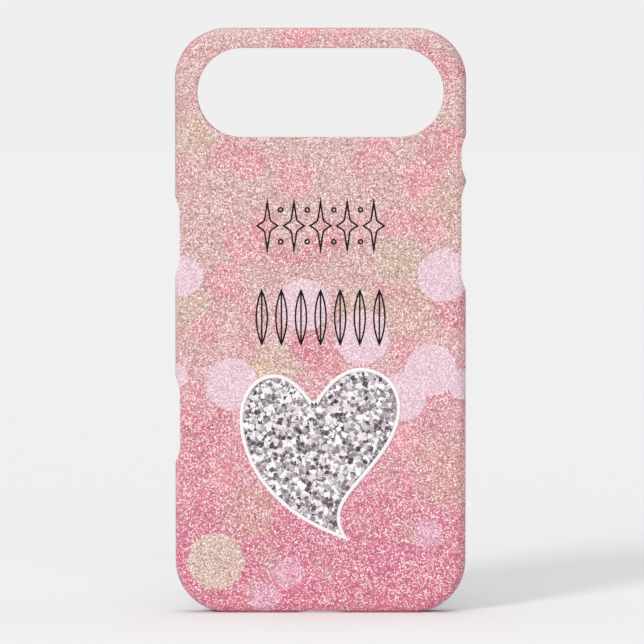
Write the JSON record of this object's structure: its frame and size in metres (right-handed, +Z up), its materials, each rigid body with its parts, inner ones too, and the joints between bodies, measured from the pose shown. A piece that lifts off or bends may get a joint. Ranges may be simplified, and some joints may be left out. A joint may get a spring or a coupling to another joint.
{
  "type": "phone case",
  "caption": "Slim one-piece hard phone case with a pill-shaped camera opening, open button notches and a pink glitter print with a silver heart.",
  "frame": {"origin": "middle of the bottom of the bounding box, with the case standing on its bottom edge", "axes": "+Z up the long side, +X to the right as the printed back is seen, -Y out of the printed back, +Y out of the open side that takes the phone"},
  "size_m": [0.0804, 0.0086, 0.162],
  "materials": {
    "shell_plastic": "satin",
    "glitter_print": "gloss",
    "white_print": "gloss",
    "silver_glitter": "gloss",
    "black_print": "satin"
  },
  "bodies": {
    "root": {"shell": "shell_plastic", "glitter_film": "glitter_print", "heart_border": "white_print", "heart_glitter": "silver_glitter", "star_line_print": "black_print", "leaf_line_print": "black_print"}
  },
  "joints": []
}
